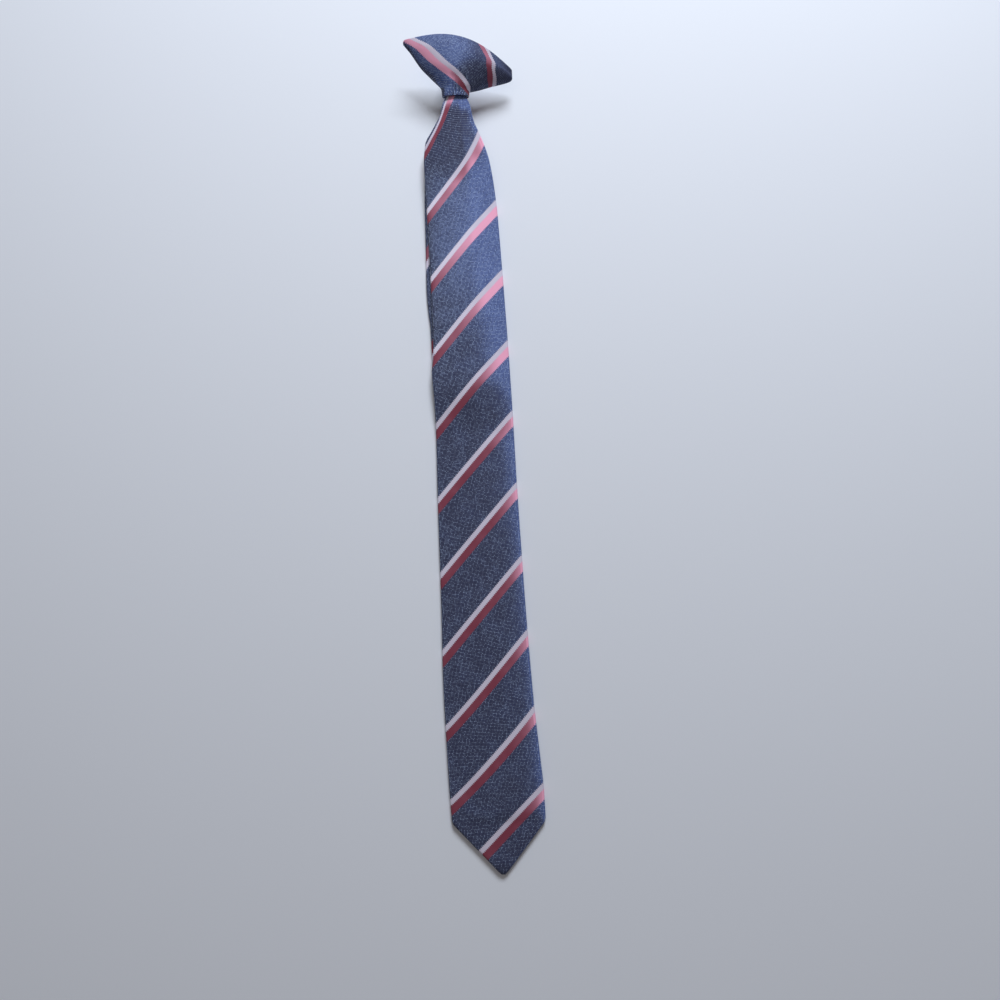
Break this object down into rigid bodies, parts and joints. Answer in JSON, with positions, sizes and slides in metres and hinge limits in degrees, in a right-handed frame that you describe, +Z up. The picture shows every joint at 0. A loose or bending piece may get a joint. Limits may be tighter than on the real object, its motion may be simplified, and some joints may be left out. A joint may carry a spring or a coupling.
{
  "type": "clip-on tie",
  "caption": "Slim clip-on necktie lying face up: striped blade with a pointed end, narrow tail behind it, ready-made knot with a hook at its back.",
  "frame": {"origin": "under the middle of the whole tie's footprint, on the surface it lies on", "axes": "+Y from the blade's point to the knot, +X to the right with the front of the tie in view and the knot at the top, +Z up from the surface, out of the front"},
  "size_m": [0.0678, 0.509, 0.0288],
  "materials": {
    "blade_cloth": "woven navy and pale blue cloth with white and red diagonal stripes, soft sheen",
    "tail_cloth": "the same striped cloth as the blade",
    "knot_cloth": "the same striped cloth as the blade",
    "clip_steel": "plain nickel-coloured spring steel, satin"
  },
  "bodies": {
    "root": {"blade": "blade_cloth", "tail": "tail_cloth", "knot": "knot_cloth", "clip": "clip_steel"}
  },
  "joints": []
}
